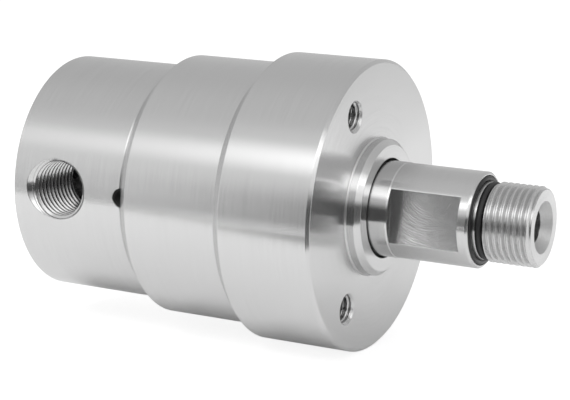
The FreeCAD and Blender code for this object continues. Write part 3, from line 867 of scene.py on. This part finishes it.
class UNION_OT_stage(bpy.types.Operator):
    """Sets the table, the light tent, the lamps, the cards, the surroundings and the camera"""

    bl_idname = "union.stage"
    bl_label = "Stage"

    def stage_material(self, piece, name):
        """Gives a stage object an empty node material and returns its node tree."""
        material, tree = new_material(name)
        piece.data.materials.append(material)
        return tree

    def glowing(self, piece, name, tree, strength):
        """Names a stage object that glows, and lets only shiny surfaces see it."""
        glow = add_node(tree, "Emission", {"Color": WHITE, "Strength": strength})
        add_node(tree, "OutputMaterial", {"Surface": glow})
        piece.name = name
        piece.visible_camera = False
        piece.visible_diffuse = False
        piece.visible_shadow = False

    def seen(self, tree):
        """One for rays from the camera or sent on by metal or glass, and the light path that says so."""
        path = add_node(tree, "LightPath")
        shown = path.outputs["Is Camera Ray"]
        for kind in ("Is Glossy Ray", "Is Transmission Ray"):
            shown = add_node(tree, "Math", {0: shown, 1: path.outputs[kind]}, operation="MAXIMUM")
        return shown, path

    def floor(self, studio):
        """White table under the flange, whose near edge shows in the part's reflections.

        To the camera it glows white and still keeps the part's shadow. To metal its glow grows farther away:
        painted light, which leaves painted shade on the table near the part.
        """
        deselect()
        bpy.ops.mesh.primitive_circle_add(vertices=len(TABLE_CORNERS), radius=1.0, fill_type="NGON")
        floor = bpy.context.object
        floor.name = "floor"
        for vertex, (x, y) in zip(floor.data.vertices, TABLE_CORNERS):
            vertex.co = (x, y, CAD_BOX[0].z)
        tree = self.stage_material(floor, "matt_white_table")
        seen, path = self.seen(tree)
        camera = path.outputs["Is Camera Ray"]
        lit = add_node(tree, "BsdfDiffuse", {"Color": tuple(studio.table)})
        shaded = add_node(tree, "BsdfDiffuse", {"Color": tuple(studio.table_shade)})
        place = add_node(tree, "TexCoord").outputs["Object"]
        # Painted shade on the table near the part: the glow that metal sees grows with distance from it.
        away = add_node(tree, "VectorMath", {0: place, 1: MIRRORED_WAY}, operation="DOT_PRODUCT")
        mirrored = add_node(tree, "MapRange", {
            0: away.outputs["Value"], 1: studio.glow_start, 2: studio.glow_end,
            3: studio.glow_near, 4: studio.glow_far,
        }, interpolation_type="SMOOTHSTEP")
        strength = add_node(tree, "MapRange", {0: camera, 3: mirrored, 4: studio.table_glow})
        glow = add_node(tree, "Emission", {"Color": WHITE, "Strength": strength})
        own = add_node(tree, "MixShader", {0: camera, 1: lit, 2: shaded})
        both = add_node(tree, "AddShader", {0: own, 1: glow})
        kept = add_node(tree, "MixShader", {0: seen, 1: lit, 2: both})
        add_node(tree, "OutputMaterial", {"Surface": kept})

    def soft_window(self, tree, value, middle, half, soft):
        """One within half a width of the middle, fading to nothing over the soft edge."""
        off = add_node(tree, "Math", {0: value, 1: middle}, operation="SUBTRACT")
        off = add_node(tree, "Math", {0: off}, operation="ABSOLUTE")
        return add_node(tree, "MapRange", {
            0: off, 1: half - soft / 2, 2: half + soft / 2, 3: 1.0, 4: 0.0,
        }, interpolation_type="SMOOTHSTEP")

    def tent(self, studio):
        """Light tent: a pipe of cloth round the part's axis, brighter where the lamps stand behind it."""
        deselect()
        bpy.ops.mesh.primitive_cylinder_add(
            vertices=studio.tent_sides, radius=studio.tent_radius, depth=studio.tent_length,
            end_fill_type="NOTHING", location=studio.tent_middle, rotation=(0, math.pi / 2, 0),
        )
        tent = bpy.context.object
        apply_place(tent)
        tree = self.stage_material(tent, "tent_cloth")
        place = add_node(tree, "TexCoord").outputs["Object"]
        parts = add_node(tree, "SeparateXYZ", {0: place})
        front = add_node(tree, "Math", {0: parts.outputs["Y"], 1: -1.0}, operation="MULTIPLY")
        turn = add_node(tree, "Math", {0: front, 1: parts.outputs["Z"]}, operation="ARCTAN2")
        share = add_node(tree, "MapRange", {0: turn, 1: -math.pi, 2: math.pi, 3: 0.0, 4: 1.0})
        total = add_node(tree, "ValToRGB", {0: share})
        stops = total.color_ramp.elements
        # A ramp can't be empty, so the second stop that it came with goes first and the other one last.
        stops.remove(stops[-1])
        for degrees, level in TENT_LEVELS:
            stop = stops.new((degrees + 180) / 360)
            stop.color = (level, level, level, 1)
        stops.remove(stops[0])
        for place_x, half_x, place_angle, half_angle, level in TENT_LAMPS:
            along = self.soft_window(tree, parts.outputs["X"], place_x, half_x, LAMP_EDGE)
            round_axis = self.soft_window(
                tree, turn, math.radians(place_angle), math.radians(half_angle), LAMP_EDGE_ANGLE
            )
            both = add_node(tree, "Math", {0: along, 1: round_axis}, operation="MULTIPLY")
            total = add_node(tree, "Math", {0: both, 1: level, 2: total}, operation="MULTIPLY_ADD")
        self.glowing(tent, "light_tent", tree, total)

    def top_lamp(self, studio):
        """Large soft lamp above the table, which metal doesn't mirror."""
        data = bpy.data.lights.new("top_lamp", "AREA")
        data.size = studio.lamp_width
        data.energy = studio.lamp_power
        lamp = bpy.data.objects.new("top_lamp", data)
        bpy.context.scene.collection.objects.link(lamp)
        lamp.location = studio.lamp_place
        lamp.visible_camera = False
        lamp.visible_glossy = False

    def side_lamp(self, studio):
        """Round lamp to the right of the part, which the chamfers mirror."""
        deselect()
        place = Vector(studio.side_lamp_place)
        bpy.ops.mesh.primitive_circle_add(
            vertices=studio.side_lamp_sides, radius=studio.side_lamp_radius, fill_type="NGON", location=place,
            rotation=place.to_track_quat("-Z", "Y").to_euler(),
        )
        lamp = bpy.context.object
        apply_place(lamp)
        tree = self.stage_material(lamp, "side_lamp_glow")
        self.glowing(lamp, "side_lamp", tree, studio.side_lamp_level)

    def card(self, name, low, high, levels, heights):
        """Flat card between two corners, shaded from one level to another by height."""
        deselect()
        low, high = Vector(low) * MM, Vector(high) * MM
        bpy.ops.mesh.primitive_cube_add(size=1, location=(low + high) / 2)
        card = bpy.context.object
        card.scale = high - low
        apply_place(card)
        tree = self.stage_material(card, name + "_paper")
        place = add_node(tree, "TexCoord").outputs["Object"]
        height = add_node(tree, "SeparateXYZ", {0: place}).outputs["Z"]
        shade = add_node(tree, "MapRange", {
            0: height, 1: heights[0] * MM, 2: heights[1] * MM, 3: levels[0], 4: levels[1],
        }, interpolation_type="SMOOTHSTEP")
        self.glowing(card, name, tree, shade)

    def world(self, studio):
        """White surroundings for the camera and for reflections, and an even light for all else."""
        world = bpy.data.worlds.new("white_studio")
        world.use_nodes = True
        tree = world.node_tree
        tree.nodes.clear()
        seen, path = self.seen(tree)
        strength = add_node(tree, "MapRange", {0: seen, 3: studio.surroundings, 4: 1.0})
        glow = add_node(tree, "Background", {"Color": WHITE, "Strength": strength})
        add_node(tree, "OutputWorld", {"Surface": glow})
        bpy.context.scene.world = world

    def camera(self, studio):
        """Camera at the photograph's place, turned a little about its view."""
        flat = math.cos(studio.camera_elevation)
        place = studio.camera_distance * Vector((
            flat * math.cos(studio.camera_azimuth), flat * math.sin(studio.camera_azimuth),
            math.sin(studio.camera_elevation),
        ))
        data = bpy.data.cameras.new("camera")
        data.lens = studio.lens
        data.sensor_width = studio.sensor
        data.clip_start = studio.clip_start
        data.clip_end = studio.clip_end
        camera = bpy.data.objects.new("camera", data)
        bpy.context.scene.collection.objects.link(camera)
        aim = (Vector(studio.camera_target) - place).to_track_quat("-Z", "Y")
        turn = Matrix.Rotation(studio.camera_roll, 4, "Z")
        camera.matrix_world = Matrix.Translation(place) @ aim.to_matrix().to_4x4() @ turn
        bpy.context.scene.camera = camera

    def execute(self, context):
        studio = settings("studio")
        self.floor(studio)
        self.tent(studio)
        self.top_lamp(studio)
        self.side_lamp(studio)
        for name, (low, high, levels, heights) in CARDS.items():
            self.card(name, low, high, levels, heights)
        self.world(studio)
        self.camera(studio)
        context.scene.view_settings.view_transform = "Standard"
        return {"FINISHED"}


class VIEW3D_PT_union(bpy.types.Panel):
    """Lists the steps that build the part's looks"""

    bl_label = "Rotary union"
    bl_space_type = "VIEW_3D"
    bl_region_type = "UI"
    bl_category = "Union"

    def draw(self, context):
        for operator in STEPS:
            self.layout.operator(operator.bl_idname)


STEPS = (
    UNION_OT_rotor_shaft, UNION_OT_neck_ring, UNION_OT_supply_port_thread, UNION_OT_bolt_threads,
    UNION_OT_boss_fillet, UNION_OT_seal_spring, UNION_OT_housing_finish, UNION_OT_inner_finish,
    UNION_OT_stage,
)
GROUPS = {
    "shaft": UnionShaftSizes, "housing": UnionHousingSizes, "threads": UnionThreadSizes,
    "spring": UnionSpringSizes, "finishes": UnionFinishes, "studio": UnionStudio,
}


def register():
    """Registers the settings, the steps and the panel."""
    for name, group in GROUPS.items():
        bpy.utils.register_class(group)
        setattr(bpy.types.Scene, "union_" + name, PointerProperty(type=group))
    for kind in STEPS + (VIEW3D_PT_union,):
        bpy.utils.register_class(kind)


def unregister():
    """Takes back what register did."""
    for kind in reversed(STEPS + (VIEW3D_PT_union,)):
        bpy.utils.unregister_class(kind)
    for name, group in GROUPS.items():
        delattr(bpy.types.Scene, "union_" + name)
        bpy.utils.unregister_class(group)


def main():
    """Runs every step in order."""
    register()
    for operator in STEPS:
        group, name = operator.bl_idname.split(".")
        getattr(getattr(bpy.ops, group), name)()


if __name__ == "__main__":
    main()
